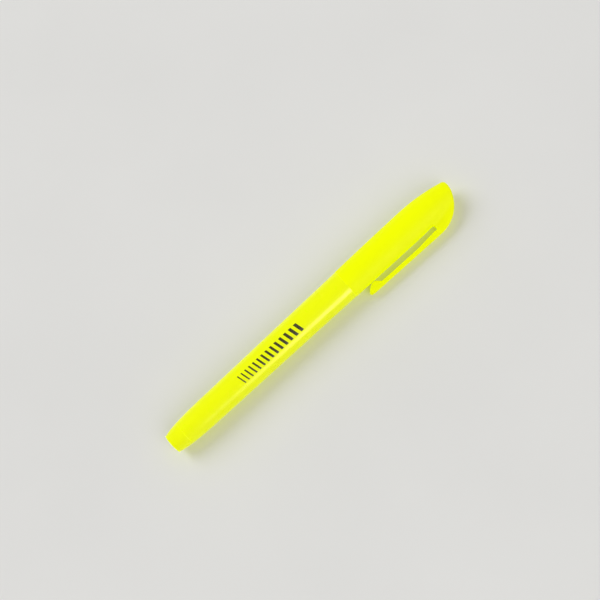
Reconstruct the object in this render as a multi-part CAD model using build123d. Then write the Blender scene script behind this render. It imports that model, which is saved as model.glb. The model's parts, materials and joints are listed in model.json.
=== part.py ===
from build123d import *

import os
from math import asin, atan2, cos, degrees, hypot, radians, sin, sqrt

# A slim capped highlighter, in millimetres.
#
# Each piece is first drawn in the pen's own frame: +X along the pen from the tail face to the
# cap's far end, +Z towards the clip. At the end every piece is rolled about the pen's axis and
# moved together, so that the pen lies as it does on a table: on the cap's belly and the edge of
# the clip, with the origin at the bottom centre of its bounding box and +X along the pen.

# ---- barrel and tail ----
BARREL_LENGTH = 83.5  # tail face to the shoulder that the cap stops on
TAIL_FACE_RADIUS = 3.3
TAIL_TAPER_LENGTH = 18.0  # the rounded run from the tail face to the barrel's straight flank
BARREL_REAR_RADIUS = 5.13
BARREL_FRONT_RADIUS = 5.70
REAR_WALL = 1.30  # barrel wall where the tail taper meets the flank
FRONT_WALL = 0.95  # barrel wall at the shoulder
SEAM_WALL = 0.85  # barrel wall left at its rear edge, which sets where the plug's head ends
BARREL_RIBS = 6
RIB_WIDTH = 0.7
RIB_CLEARANCE = 0.04  # ribs to the reservoir
PLUG_SPIGOT_LENGTH = 6.0
PLUG_BORE_RADIUS = 2.9
PLUG_HEAD_CORE_DEPTH = 2.4  # how far the plug's bore runs on into its head
PLUG_SLOTS = 4
PLUG_SLOT_WIDTH = 1.2
PLUG_SLOT_DEPTH = 3.0

# ---- writing end ----
SHOULDER_WIDTH = 0.75  # step from the barrel's flank down to the cap's seat
SKIRT_LENGTH = 6.0  # nib holder inside the barrel
SEAT_LENGTH = 12.5  # round stretch that the cap slides over
CONE_LENGTH = 8.0
NOSE_LENGTH = 5.0
NOSE_SLANT = 1.3  # how much shorter the nose is on the clip's side
CONE_STEP = 0.35  # step down from the seat to the cone
BEAD_POSITION = 6.0  # snap bead, from the shoulder
BEAD_WIDTH = 1.0
BEAD_HEIGHT = 0.12
GRIP_GROOVES = 3
GROOVE_PITCH = 1.3
GROOVE_WIDTH = 0.5
GROOVE_DEPTH = 0.22
HOLDER_WALL = 0.9
NIB_TUBE_WALL = 0.55
VENT_WIDTH = 0.8
VENT_DEPTH = 0.3
NIB_WIDTH = 4.4
NIB_THICKNESS = 2.9
NIB_CORNER = 0.7
NIB_EXPOSED = 6.2  # nose to the nib's tip
NIB_BURIED = 6.5  # nib inside the ink reservoir
NIB_SLANT = 2.6  # how much shorter the nib's short edge is than its long one
NIB_BEVEL = 0.9  # depth of the chisel's two side bevels at the tip
NIB_BEVEL_LENGTH = 2.4

# ---- reservoir ----
RESERVOIR_CLEARANCE = 0.08
FILM_THICKNESS = 0.12

# ---- cap ----
CAP_END_LENGTH = 15.7  # liner's closed end to the cap's far end
CAP_STEP = 0.08  # cap's mouth stands this proud of the barrel's shoulder
CAP_SWELL = 0.22  # cap's belly over its mouth
END_TAPER_LENGTH = 19.5
END_RADIUS = 3.35
MOUTH_CHAMFER = 0.25
CAP_END_WALL = 4.0  # plastic beyond the core at the far end
CORE_TIP_RADIUS = 1.9
CAP_FIT = 0.05  # radial clearance of the cap on its seat
CAP_RIBS = 6
LINER_WALL = 0.65
LINER_END_WALL = 0.9
LINER_CLEARANCE = 0.75  # liner's bore over the nose
LINER_FIT = 0.03  # radial clearance of the liner in the cap's ribs
SEAL_GAP = 0.05  # liner's lip over the cone
TIP_CLEARANCE = 1.9  # nib's tip to the liner's closed end
END_GAP = 0.3  # liner's closed end to the cap's inner step

# ---- clip ----
CLIP_LENGTH = 33.3  # root to tip
CLIP_GAP = 1.6  # cap's belly to the clip's inner face at the root
CLIP_ROOT_THICKNESS = 2.2
CLIP_THICKNESS = 1.55
CLIP_FALL = 0.5  # how much nearer the pen's axis the clip's back is at the tip
CLIP_ROOT_WIDTH = 4.8
CLIP_TIP_WIDTH = 4.0
HAUNCH_LENGTH = 11.0  # run over which the clip thins from its root
BEAD_SETBACK = 3.9  # clip's tip to the crest of its grip bead
CREST_LENGTH = 1.2
CREST_RAMP = 1.9  # run of the bead on its root side
CREST_GAP = 0.2  # crest to the cap
TIP_THICKNESS = 0.9
EDGE_ROUND = 0.5  # rounding of the outer edges of the clip and the cap's web
WEB_STRAIGHT = 3.0  # the web keeps the clip's width this far, then widens to the cap's far end

# ---- places that follow ----
BORE_REAR = BARREL_REAR_RADIUS - REAR_WALL
BORE_FRONT = BARREL_FRONT_RADIUS - FRONT_WALL
SEAM_RADIUS = BORE_REAR + SEAM_WALL
TAIL_RISE = BARREL_REAR_RADIUS - TAIL_FACE_RADIUS
SEAM_X = TAIL_TAPER_LENGTH * (1 - sqrt(1 - ((SEAM_RADIUS - TAIL_FACE_RADIUS) / TAIL_RISE) ** 2))
SPIGOT_END_X = SEAM_X + PLUG_SPIGOT_LENGTH

SHOULDER_X = BARREL_LENGTH
SKIRT_X = SHOULDER_X - SKIRT_LENGTH
SEAT_END_X = SHOULDER_X + SEAT_LENGTH
NOSE_X = SEAT_END_X + CONE_LENGTH
NOSE_END_X = NOSE_X + NOSE_LENGTH
NIB_TIP_X = NOSE_END_X + NIB_EXPOSED
NIB_REAR_X = SKIRT_X - NIB_BURIED

SEAT_RADIUS = BARREL_FRONT_RADIUS - SHOULDER_WIDTH
CONE_RADIUS = SEAT_RADIUS - CONE_STEP
NIB_REACH = hypot(NIB_WIDTH / 2 - NIB_CORNER, NIB_THICKNESS / 2 - NIB_CORNER) + NIB_CORNER
NOSE_RADIUS = NIB_REACH + NIB_TUBE_WALL
RESERVOIR_RADIUS = BORE_REAR - RESERVOIR_CLEARANCE

LINER_BORE = NOSE_RADIUS + LINER_CLEARANCE
LINER_RADIUS = LINER_BORE + LINER_WALL
LIP_X = SEAT_END_X + CONE_LENGTH * (CONE_RADIUS - LINER_BORE + SEAL_GAP) / (CONE_RADIUS - NOSE_RADIUS)
LINER_END_X = NIB_TIP_X + TIP_CLEARANCE + LINER_END_WALL
CAP_END_X = LINER_END_X + CAP_END_LENGTH

CAP_BORE = SEAT_RADIUS + CAP_FIT
CAP_MOUTH_RADIUS = BARREL_FRONT_RADIUS + CAP_STEP
CAP_RADIUS = CAP_MOUTH_RADIUS + CAP_SWELL
CAP_BELLY_X = CAP_END_X - END_TAPER_LENGTH

CLIP_BACK = CAP_RADIUS + CLIP_GAP + CLIP_ROOT_THICKNESS
END_ARC_RADIUS = CLIP_BACK + END_RADIUS
ROOT_X = CAP_END_X - END_ARC_RADIUS
CLIP_TIP_X = ROOT_X - CLIP_LENGTH
CREST_X = CLIP_TIP_X + BEAD_SETBACK

SPARE = 1.0  # how far a cutting shape runs past what it cuts


def spun(*edges):
    """The solid of revolution about the pen's axis of a closed outline of (x, radius) edges."""
    return revolve(make_face(Wire(list(edges))), Axis.X)


def spun_points(*points):
    """The solid of revolution of a closed polygon of (x, radius) points."""
    return revolve(make_face(Polyline(*points, close=True)), Axis.X)


def tube(x0, x1, outer, inner):
    return spun_points((x0, inner), (x1, inner), (x1, outer), (x0, outer))


def side_cut(edges, width):
    """A prism of a closed outline drawn in the X-Z plane, centred on the pen's middle plane."""
    face = Plane.XZ * make_face(Wire(list(edges)))
    return extrude(face, width / 2, both=True)


def around(piece, count, start=0.0):
    """Copies of a piece, evenly spaced about the pen's axis."""
    return [Rot(X=start + i * 360 / count) * piece for i in range(count)]


def bar(x0, x1, width, r0, r1):
    """A straight bar along X, from radius r0 to r1 on the clip's side."""
    return Pos((x0 + x1) / 2, 0, (r0 + r1) / 2) * Box(x1 - x0, width, r1 - r0)


def bore_radius(x):
    """The barrel's tapered bore."""
    return BORE_REAR + (BORE_FRONT - BORE_REAR) * (x - SEAM_X) / (SHOULDER_X - SEAM_X)


def nib_bar(x0, x1, grow=0.0):
    """A bar of the nib's section, wide in Z, optionally grown all round."""
    section = Plane.YZ * RectangleRounded(
        NIB_THICKNESS + 2 * grow, NIB_WIDTH + 2 * grow, NIB_CORNER + grow
    )
    return Pos(x0, 0, 0) * extrude(section, x1 - x0)


def barrel_outside():
    """The outer form of barrel and tail plug together: flat tail face, elliptical taper, flank."""
    centre = (TAIL_TAPER_LENGTH, TAIL_FACE_RADIUS)
    taper = EllipticalCenterArc(centre, TAIL_TAPER_LENGTH, TAIL_RISE, 180, arc_size=-90)
    tail_face = Line((0, 0), (0, TAIL_FACE_RADIUS))
    flank = Line((TAIL_TAPER_LENGTH, BARREL_REAR_RADIUS), (SHOULDER_X, BARREL_FRONT_RADIUS))
    front = Line((SHOULDER_X, BARREL_FRONT_RADIUS), (SHOULDER_X, 0))
    return spun(tail_face, taper, flank, front, Line((SHOULDER_X, 0), (0, 0)))


def make_barrel():
    shell = barrel_outside() - spun_points(
        (-SPARE, 0), (SEAM_X, 0), (SEAM_X, 2 * BARREL_REAR_RADIUS), (-SPARE, 2 * BARREL_REAR_RADIUS)
    )
    shell -= spun_points(
        (SEAM_X - SPARE, 0),
        (SEAM_X - SPARE, bore_radius(SEAM_X - SPARE)),
        (SHOULDER_X + SPARE, bore_radius(SHOULDER_X + SPARE)),
        (SHOULDER_X + SPARE, 0),
    )
    # Ribs hold the reservoir off the bore, so that air passes along it.
    rib_start, rib_end = SPIGOT_END_X + SPARE, SKIRT_X - SPARE
    rib = bar(rib_start, rib_end, RIB_WIDTH, RESERVOIR_RADIUS + RIB_CLEARANCE, BORE_FRONT)
    rib &= barrel_outside()
    return shell + around(rib, BARREL_RIBS)


def make_tail_plug():
    """The rounded tail end, pressed into the barrel by a hollow slotted spigot."""
    head = barrel_outside() & spun_points(
        (-SPARE, 0), (SEAM_X, 0), (SEAM_X, 2 * BARREL_REAR_RADIUS), (-SPARE, 2 * BARREL_REAR_RADIUS)
    )
    spigot = spun_points(
        (SEAM_X, 0), (SEAM_X, bore_radius(SEAM_X)),
        (SPIGOT_END_X - 0.4, bore_radius(SEAM_X)), (SPIGOT_END_X, bore_radius(SEAM_X) - 0.3),
        (SPIGOT_END_X, 0),
    )
    core = spun_points(
        (SEAM_X - PLUG_HEAD_CORE_DEPTH, 0), (SEAM_X - PLUG_HEAD_CORE_DEPTH, PLUG_BORE_RADIUS - 0.6),
        (SEAM_X, PLUG_BORE_RADIUS), (SPIGOT_END_X + SPARE, PLUG_BORE_RADIUS), (SPIGOT_END_X + SPARE, 0),
    )
    slot = bar(
        SPIGOT_END_X - PLUG_SLOT_DEPTH, SPIGOT_END_X + SPARE, PLUG_SLOT_WIDTH, 0, 2 * PLUG_BORE_RADIUS
    )
    return head + spigot - core - around(slot, PLUG_SLOTS, 45)


def make_nib_holder():
    """The front section: skirt in the barrel, seat for the cap, grooved cone and slanted nose."""
    bead_x = SHOULDER_X + BEAD_POSITION
    outside = spun_points(
        (SKIRT_X, 0), (SKIRT_X, BORE_FRONT - 0.35), (SKIRT_X + 0.8, bore_radius(SKIRT_X)),
        (SHOULDER_X, BORE_FRONT), (SHOULDER_X, SEAT_RADIUS - BEAD_HEIGHT),
        (bead_x - BEAD_WIDTH, SEAT_RADIUS - BEAD_HEIGHT), (bead_x, SEAT_RADIUS),
        (bead_x + BEAD_WIDTH, SEAT_RADIUS - BEAD_HEIGHT),
        (SEAT_END_X - 0.4, SEAT_RADIUS - BEAD_HEIGHT), (SEAT_END_X, CONE_RADIUS),
        (NOSE_X, NOSE_RADIUS), (NOSE_END_X, NOSE_RADIUS - 0.12), (NOSE_END_X, 0),
    )
    grooves = []
    for i in range(GRIP_GROOVES):
        x = SEAT_END_X + 0.8 + i * GROOVE_PITCH
        on_cone = CONE_RADIUS - (CONE_RADIUS - NOSE_RADIUS) * (x - SEAT_END_X) / CONE_LENGTH
        grooves.append(tube(x, x + GROOVE_WIDTH, 2 * SEAT_RADIUS, on_cone - GROOVE_DEPTH))
    # An annular relief behind leaves a nib tube inside a thin outer wall.
    relief = spun_points(
        (SKIRT_X - SPARE, NOSE_RADIUS), (SEAT_END_X - 1.5, NOSE_RADIUS),
        (SEAT_END_X - 1.5, CONE_RADIUS - HOLDER_WALL),
        (SHOULDER_X - 1.0, SEAT_RADIUS - BEAD_HEIGHT - HOLDER_WALL),
        (SKIRT_X - SPARE, SEAT_RADIUS - BEAD_HEIGHT - HOLDER_WALL),
    )
    nose_cut = side_cut(
        Polyline(
            (NOSE_END_X, -NOSE_RADIUS), (NOSE_END_X - NOSE_SLANT, NOSE_RADIUS),
            (NOSE_END_X - NOSE_SLANT, 2 * NOSE_RADIUS), (NOSE_END_X + SPARE, 2 * NOSE_RADIUS),
            (NOSE_END_X + SPARE, -NOSE_RADIUS), close=True,
        ).edges(),
        4 * NOSE_RADIUS,
    )
    # One slot through the nib's socket leaves an air vent on each broad side of the nib.
    vents = Box(2 * CAP_END_X, NIB_THICKNESS + 2 * VENT_DEPTH, VENT_WIDTH)
    return outside - grooves - relief - nose_cut - nib_bar(SKIRT_X - SPARE, NOSE_END_X + SPARE) - vents


def make_chisel_nib():
    """A porous bar cut on the slant, with its two broad sides bevelled to a chisel edge."""
    nib = nib_bar(NIB_REAR_X, NIB_TIP_X)
    slant = Polyline(
        (NIB_TIP_X, -NIB_WIDTH / 2), (NIB_TIP_X - NIB_SLANT, NIB_WIDTH / 2),
        (NIB_TIP_X - NIB_SLANT, NIB_WIDTH), (NIB_TIP_X + SPARE, NIB_WIDTH),
        (NIB_TIP_X + SPARE, -NIB_WIDTH / 2), close=True,
    )
    nib -= side_cut(slant.edges(), 2 * NIB_THICKNESS)
    edge = NIB_THICKNESS / 2 - NIB_BEVEL
    for side in (1, -1):
        lean = degrees(atan2(NIB_SLANT, NIB_WIDTH))
        wedge = make_face(
            Polyline(
                (-NIB_BEVEL_LENGTH, side * NIB_THICKNESS / 2), (0, side * edge),
                (SPARE, side * edge), (SPARE, side * NIB_THICKNESS),
                (-NIB_BEVEL_LENGTH, side * NIB_THICKNESS), close=True,
            )
        )
        cutter = extrude(wedge, 2 * NIB_WIDTH, both=True)
        nib -= Pos(NIB_TIP_X, 0, -NIB_WIDTH / 2) * Rot(Y=-lean) * cutter
    return nib


def make_reservoir_core():
    """The ink-soaked fibre filler, which the nib's shank is pushed into."""
    core = spun_points(
        (SPIGOT_END_X, 0), (SPIGOT_END_X, RESERVOIR_RADIUS - FILM_THICKNESS),
        (SKIRT_X, RESERVOIR_RADIUS - FILM_THICKNESS), (SKIRT_X, 0),
    )
    return core - nib_bar(NIB_REAR_X, SKIRT_X + SPARE)


def make_reservoir_film():
    return tube(SPIGOT_END_X, SKIRT_X, RESERVOIR_RADIUS, RESERVOIR_RADIUS - FILM_THICKNESS)


def arc_radius(run, fall):
    """The radius of an arc that starts level and has fallen this much after this run."""
    return (run**2 + fall**2) / (2 * fall)


def cap_radius_at(x):
    """The cap's round outline: one arc from the belly to the mouth and one to the far end."""
    if x < CAP_BELLY_X:
        arc = arc_radius(CAP_BELLY_X - SHOULDER_X, CAP_SWELL)
    else:
        arc = arc_radius(END_TAPER_LENGTH, CAP_RADIUS - END_RADIUS)
    return CAP_RADIUS - arc + sqrt(arc**2 - (x - CAP_BELLY_X) ** 2)


def cap_round():
    """The cap's solid of revolution, running on a little past the far end."""
    mouth = (SHOULDER_X, CAP_MOUTH_RADIUS)
    belly = (CAP_BELLY_X, CAP_RADIUS)
    past_end = (CAP_END_X + SPARE, cap_radius_at(CAP_END_X + SPARE))
    return spun(
        Line((SHOULDER_X, 0), mouth),
        TangentArc(belly, mouth, tangent=(-1, 0)),
        TangentArc(belly, past_end, tangent=(1, 0)),
        Line(past_end, (CAP_END_X + SPARE, 0)),
        Line((CAP_END_X + SPARE, 0), (SHOULDER_X, 0)),
    )


def end_window():
    """Everything on the pen's side of the cap's quarter-round far end and the clip's back."""
    below = 30  # degrees that the arc runs on below the cap's end corner, clear of the cap
    far_end = CenterArc((ROOT_X, -END_RADIUS), END_ARC_RADIUS, -below, arc_size=90 + below)
    start = far_end @ 0
    return side_cut(
        [
            far_end,
            Line((ROOT_X, CLIP_BACK), (0, CLIP_BACK)),
            Line((0, CLIP_BACK), (0, start.Y)),
            Line((0, start.Y), start),
        ],
        4 * CAP_RADIUS,
    )


def make_cap():
    """The round cap, with the web at its far end that the clip grows out of."""
    half_width = CLIP_ROOT_WIDTH / 2
    plan = make_face(
        Polyline(
            (ROOT_X, half_width), (ROOT_X + WEB_STRAIGHT, half_width), (CAP_END_X, END_RADIUS),
            (CAP_END_X, -END_RADIUS), (ROOT_X + WEB_STRAIGHT, -half_width), (ROOT_X, -half_width),
            close=True,
        )
    )
    web = extrude(plan, CLIP_BACK, dir=(0, 0, 1)) & end_window()
    back_edges = web.edges().filter_by(lambda e: e.geom_type != GeomType.LINE)
    web = fillet(back_edges, EDGE_ROUND)
    cap = (cap_round() & end_window()) + web
    liner_seat_end = LINER_END_X + END_GAP
    cavity = spun_points(
        (SHOULDER_X - SPARE, 0), (SHOULDER_X - SPARE, CAP_BORE + MOUTH_CHAMFER),
        (SHOULDER_X, CAP_BORE + MOUTH_CHAMFER), (SHOULDER_X + MOUTH_CHAMFER, CAP_BORE),
        (liner_seat_end, CAP_BORE), (liner_seat_end, LINER_RADIUS - LINER_WALL),
        (CAP_END_X - CAP_END_WALL, CORE_TIP_RADIUS), (CAP_END_X - CAP_END_WALL, 0),
    )
    cap -= cavity
    # Ribs inside the bore grip the liner.
    rib = bar(LIP_X + SPARE, liner_seat_end, RIB_WIDTH, LINER_RADIUS + LINER_FIT, CAP_BORE)
    return cap + around(rib, CAP_RIBS)


def make_cap_liner():
    """The inner cap that seals on the nib holder's cone and keeps the nib wet."""
    return spun_points(
        (LIP_X, LINER_BORE), (LINER_END_X - LINER_END_WALL, LINER_BORE),
        (LINER_END_X - LINER_END_WALL, 0), (LINER_END_X, 0), (LINER_END_X, LINER_RADIUS - 0.3),
        (LINER_END_X - 0.3, LINER_RADIUS), (LIP_X + 0.8, LINER_RADIUS), (LIP_X, LINER_RADIUS - 0.25),
    )


def clip_back_at(x):
    """How far the clip's back stands from the pen's axis."""
    return CLIP_BACK - CLIP_FALL * (ROOT_X - x) / CLIP_LENGTH


def make_clip():
    """The springy arm: a bar that thins from its root, with a grip bead near its tip."""
    crest_height = cap_radius_at(CREST_X) + CREST_GAP
    crest_start = CREST_X + CREST_LENGTH / 2
    ramp_start = crest_start + CREST_RAMP
    haunch_x = ROOT_X - HAUNCH_LENGTH
    outline = Polyline(
        (ROOT_X, CLIP_BACK),
        (ROOT_X, CLIP_BACK - CLIP_ROOT_THICKNESS),
        (haunch_x, clip_back_at(haunch_x) - CLIP_THICKNESS),
        (ramp_start, clip_back_at(ramp_start) - CLIP_THICKNESS),
        (crest_start, crest_height),
        (CREST_X - CREST_LENGTH / 2, crest_height),
        (CLIP_TIP_X, clip_back_at(CLIP_TIP_X) - TIP_THICKNESS),
        (CLIP_TIP_X, clip_back_at(CLIP_TIP_X)),
        close=True,
    )
    arm = side_cut(outline.edges(), 2 * CLIP_ROOT_WIDTH)
    plan = make_face(
        Polyline(
            (ROOT_X, CLIP_ROOT_WIDTH / 2), (ROOT_X, -CLIP_ROOT_WIDTH / 2),
            (CLIP_TIP_X + CLIP_TIP_WIDTH / 2, -CLIP_TIP_WIDTH / 2),
            (CLIP_TIP_X + CLIP_TIP_WIDTH / 2, CLIP_TIP_WIDTH / 2), close=True,
        )
    ) + Pos(CLIP_TIP_X + CLIP_TIP_WIDTH / 2, 0) * Circle(CLIP_TIP_WIDTH / 2)
    arm &= extrude(plan, 2 * CLIP_BACK, dir=(0, 0, 1))
    long_edges = arm.edges().filter_by(
        lambda e: e.length > CLIP_LENGTH / 2 and e.center().Z > CLIP_BACK - CLIP_FALL - 0.1
    )
    return fillet(long_edges, EDGE_ROUND)


def rest_roll():
    """The turn about X that sets both the cap's belly and the clip's lower edge on the table."""
    height, side = CLIP_BACK - EDGE_ROUND, CLIP_ROOT_WIDTH / 2 - EDGE_ROUND
    below = asin((CAP_RADIUS - EDGE_ROUND) / hypot(height, side)) - atan2(side, height)
    return 90 + degrees(below)


MAKERS = {
    "barrel": make_barrel,
    "tail_plug": make_tail_plug,
    "nib_holder": make_nib_holder,
    "chisel_nib": make_chisel_nib,
    "reservoir_core": make_reservoir_core,
    "reservoir_film": make_reservoir_film,
    "cap": make_cap,
    "cap_liner": make_cap_liner,
    "clip": make_clip,
}

roll = Rot(X=rest_roll())
pieces = {name: roll * make() for name, make in MAKERS.items()}
box = Compound(children=[Part(piece.wrapped) for piece in pieces.values()]).bounding_box()
middle = box.center()
to_table = Pos(-middle.X, -middle.Y, -box.min.Z)

os.makedirs("parts", exist_ok=True)
for name, piece in pieces.items():
    export_step(to_table * piece, f"parts/{name}.step")

turn = radians(rest_roll())
axis_y, axis_z = -middle.Y, -box.min.Z
hinge_y, hinge_z = axis_y - CLIP_BACK * sin(turn), axis_z + CLIP_BACK * cos(turn)
print(f"size {box.size.X:.3f} x {box.size.Y:.3f} x {box.size.Z:.3f} mm, roll {rest_roll():.3f} deg")
print(f"pen axis at y {axis_y:.4f} z {axis_z:.4f}; tail face x {-middle.X:.4f}")
print(f"clip hinge at x {ROOT_X - middle.X:.4f} y {hinge_y:.4f} z {hinge_z:.4f}")
print(f"clip hinge axis 0 {cos(turn):.6f} {sin(turn):.6f}")
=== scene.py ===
"""A slim capped highlighter pen, built round its CAD frame: shells, clip, nib, inks and plastics."""

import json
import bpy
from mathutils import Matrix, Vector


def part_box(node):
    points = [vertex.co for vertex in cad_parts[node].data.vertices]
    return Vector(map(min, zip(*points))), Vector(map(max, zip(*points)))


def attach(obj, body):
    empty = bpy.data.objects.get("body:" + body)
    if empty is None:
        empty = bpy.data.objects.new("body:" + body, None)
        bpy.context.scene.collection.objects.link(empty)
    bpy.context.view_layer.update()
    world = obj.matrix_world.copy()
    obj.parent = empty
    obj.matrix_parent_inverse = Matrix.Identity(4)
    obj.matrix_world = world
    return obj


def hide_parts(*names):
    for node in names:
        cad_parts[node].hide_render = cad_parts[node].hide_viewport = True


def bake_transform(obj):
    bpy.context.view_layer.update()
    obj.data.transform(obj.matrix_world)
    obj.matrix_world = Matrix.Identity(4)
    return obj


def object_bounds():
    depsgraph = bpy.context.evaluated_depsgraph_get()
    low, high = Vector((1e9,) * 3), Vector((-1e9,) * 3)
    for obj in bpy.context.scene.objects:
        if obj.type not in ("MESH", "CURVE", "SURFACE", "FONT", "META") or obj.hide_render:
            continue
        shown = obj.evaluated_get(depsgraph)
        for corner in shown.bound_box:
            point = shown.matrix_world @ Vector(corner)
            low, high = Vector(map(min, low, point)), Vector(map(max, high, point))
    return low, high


bl_info = {
    "name": "Capped Highlighter Pen",
    "version": (1, 0, 0),
    "blender": (4, 5, 0),
    "location": "View3D > Sidebar > Highlighter",
    "description": "Builds a capped highlighter pen piece by piece round its CAD frame",
    "category": "Add Mesh",
}

from math import atan2, cos, hypot, pi, radians, sin, sqrt

import bmesh
import bpy
from bpy.props import FloatProperty, FloatVectorProperty, IntProperty, PointerProperty
from mathutils import Matrix, Vector

MM = 0.001

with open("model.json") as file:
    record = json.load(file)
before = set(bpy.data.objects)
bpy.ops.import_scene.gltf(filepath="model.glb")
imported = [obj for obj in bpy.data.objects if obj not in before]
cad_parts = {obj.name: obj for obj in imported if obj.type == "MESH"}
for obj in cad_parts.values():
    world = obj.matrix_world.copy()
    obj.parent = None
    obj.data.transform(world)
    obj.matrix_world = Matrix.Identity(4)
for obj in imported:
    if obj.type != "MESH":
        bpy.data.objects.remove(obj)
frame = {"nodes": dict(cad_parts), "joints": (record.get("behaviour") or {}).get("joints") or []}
CAD_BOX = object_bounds()


# ---- the frame: where the CAD says things are, in metres ----


def find_joint(name):
    return next(joint for joint in frame["joints"] if joint["name"] == name)


def half_height(node):
    """The radius of a round node, from its box."""
    low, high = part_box(node)
    return (high.z - low.z) / 2


def barrel_axis():
    low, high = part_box("barrel")
    return Vector((0, (low.y + high.y) / 2, (low.z + high.z) / 2))


def pen_matrix():
    """From the pen's own axes (+X along it, +Z to the clip, origin on its axis) to the row frame."""
    along = Vector((1, 0, 0))
    across = Vector(find_joint("clip_flex")["axis"]).normalized()
    to_clip = along.cross(across)
    turned = Matrix((along, across, to_clip)).transposed().to_4x4()
    return Matrix.Translation(barrel_axis()) @ turned


PEN = pen_matrix()
CLIP_HINGE = Vector(find_joint("clip_flex")["pos_m"])

TAIL_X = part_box("tail_plug")[0].x
SEAM_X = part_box("barrel")[0].x
SPIGOT_END_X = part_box("tail_plug")[1].x
SHOULDER_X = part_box("barrel")[1].x
SKIRT_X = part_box("nib_holder")[0].x
NOSE_END_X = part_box("nib_holder")[1].x
NIB_REAR_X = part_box("chisel_nib")[0].x
NIB_TIP_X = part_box("chisel_nib")[1].x
LIP_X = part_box("cap_liner")[0].x
LINER_END_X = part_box("cap_liner")[1].x
CAP_END_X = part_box("cap")[1].x
CLIP_TIP_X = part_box("clip")[0].x
ROOT_X = CLIP_HINGE.x
BARREL_FRONT_RADIUS = half_height("barrel")
SEAT_RADIUS = half_height("nib_holder")
LINER_RADIUS = half_height("cap_liner")
CAP_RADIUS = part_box("cap")[1].z - barrel_axis().z
CLIP_BACK = (CLIP_HINGE - barrel_axis() - Vector((ROOT_X, 0, 0))).length
END_ARC_RADIUS = CAP_END_X - ROOT_X
END_RADIUS = END_ARC_RADIUS - CLIP_BACK


# ---- sizes and colours that a user may change ----


def length(name, default, description):
    return FloatProperty(name=name, description=description, default=default, unit="LENGTH", precision=5)


def colour(name, default, description):
    return FloatVectorProperty(
        name=name, description=description, default=default, size=4, min=0, max=1, subtype="COLOR"
    )


def share(name, default, description):
    return FloatProperty(name=name, description=description, default=default, min=0, max=1, subtype="FACTOR")


class BarrelSizes(bpy.types.PropertyGroup):
    tail_face_radius: length("Tail face radius", 3.3 * MM, "Radius of the flat tail face")
    taper_length: length("Tail taper", 18 * MM, "Run of the rounded taper from the tail face")
    rear_radius: length("Rear radius", 5.13 * MM, "Radius where the tail taper meets the flank")
    rear_wall: length("Rear wall", 1.3 * MM, "Wall at the rear of the bore")
    front_wall: length("Front wall", 0.95 * MM, "Wall at the shoulder")
    plug_bore: length("Plug bore", 2.9 * MM, "Radius of the tail plug's bore")
    plug_core: length("Plug core depth", 2.4 * MM, "How far the plug's bore runs into its head")
    gate_radius: length("Gate radius", 0.55 * MM, "Radius of the moulding mark on the tail face")
    gate_depth: length("Gate depth", 0.12 * MM, "Depth of the moulding mark on the tail face")
    spigot_lead: length("Spigot lead-in", 0.4 * MM, "Run of the tail plug's tapered lead-in")
    spigot_taper: length("Spigot taper", 0.3 * MM, "How much the lead-in narrows the tail plug")
    core_taper: length("Plug core taper", 0.6 * MM, "How much the plug's core narrows inside its head")
    tail_round: length("Tail rounding", 0.6 * MM, "Rounding of the tail face's edge")
    seam_round: length("Seam rounding", 0.07 * MM, "Rounding on each side of the tail seam")
    edge_round: length("Edge rounding", 0.16 * MM, "Rounding of the barrel's shoulder")


class CapSizes(bpy.types.PropertyGroup):
    swell: length("Swell", 0.22 * MM, "Belly radius over mouth radius")
    end_taper: length("End taper", 19.5 * MM, "Run of the taper to the far end")
    fit: length("Fit", 0.05 * MM, "Radial clearance on the nib holder's seat")
    liner_fit: length("Liner fit", 0.03 * MM, "Radial clearance of the ribs on the liner")
    mouth_chamfer: length("Mouth chamfer", 0.25 * MM, "Chamfer inside the mouth")
    mouth_round: length("Mouth rounding", 0.12 * MM, "Rounding of the mouth's outer edge")
    end_gap: length("End gap", 0.3 * MM, "Liner's closed end to the cap's inner step")
    end_wall: length("End wall", 4 * MM, "Plastic beyond the core at the far end")
    core_tip_radius: length("Core tip", 1.9 * MM, "Radius of the core's far end")
    core_chamfer: length("Core chamfer", 0.4 * MM, "Chamfer of the core's far end")
    web_straight: length("Web straight", 3 * MM, "Run over which the web keeps the clip's width")
    web_blend: length("Web blend", 1.5 * MM, "Softness of the corner between web and cap")
    rim_blend: length("Rim blend", 1.3 * MM, "Softness of the far end's rim")
    rib_width: length("Rib width", 0.7 * MM, "Width of the ribs that hold the liner")
    rib_round: length("Rib rounding", 0.06 * MM, "Rounding of the ribs' edges")
    ribs: IntProperty(name="Ribs", description="Ribs that hold the liner", default=6, min=3)


class ClipSizes(bpy.types.PropertyGroup):
    root_width: length("Root width", 4.8 * MM, "Width at the root")
    tip_width: length("Tip width", 4 * MM, "Width at the tip")
    root_thickness: length("Root thickness", 2.2 * MM, "Thickness at the root")
    thickness: length("Thickness", 1.55 * MM, "Thickness of the arm")
    tip_thickness: length("Tip thickness", 0.9 * MM, "Thickness at the very tip")
    fall: length("Fall", 0.5 * MM, "How much nearer the pen the back is at the tip")
    haunch: length("Haunch", 11 * MM, "Run over which the arm thins from its root")
    bead_setback: length("Bead setback", 3.9 * MM, "Tip to the grip bead's crest")
    bead_crest: length("Bead crest", 1.2 * MM, "Length of the bead's level crest")
    bead_ramp: length("Bead ramp", 2.1 * MM, "Run of the bead on its root side")
    bead_gap: length("Bead gap", 0.2 * MM, "Crest to the cap")
    edge_blend: length("Edge blend", 0.6 * MM, "Softness of the outer edges")
    tip_blend: length("Tip blend", 1.6 * MM, "Softness of the tip's outer edge")
    inner_blend: length("Inner blend", 0.3 * MM, "Softness of the inner edges")
    root_depth: length("Root depth", 0.8 * MM, "How far the root is set into the cap's web")
    bend_length: length("Bend length", 14 * MM, "Run over which the arm bends when it is lifted")


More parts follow.
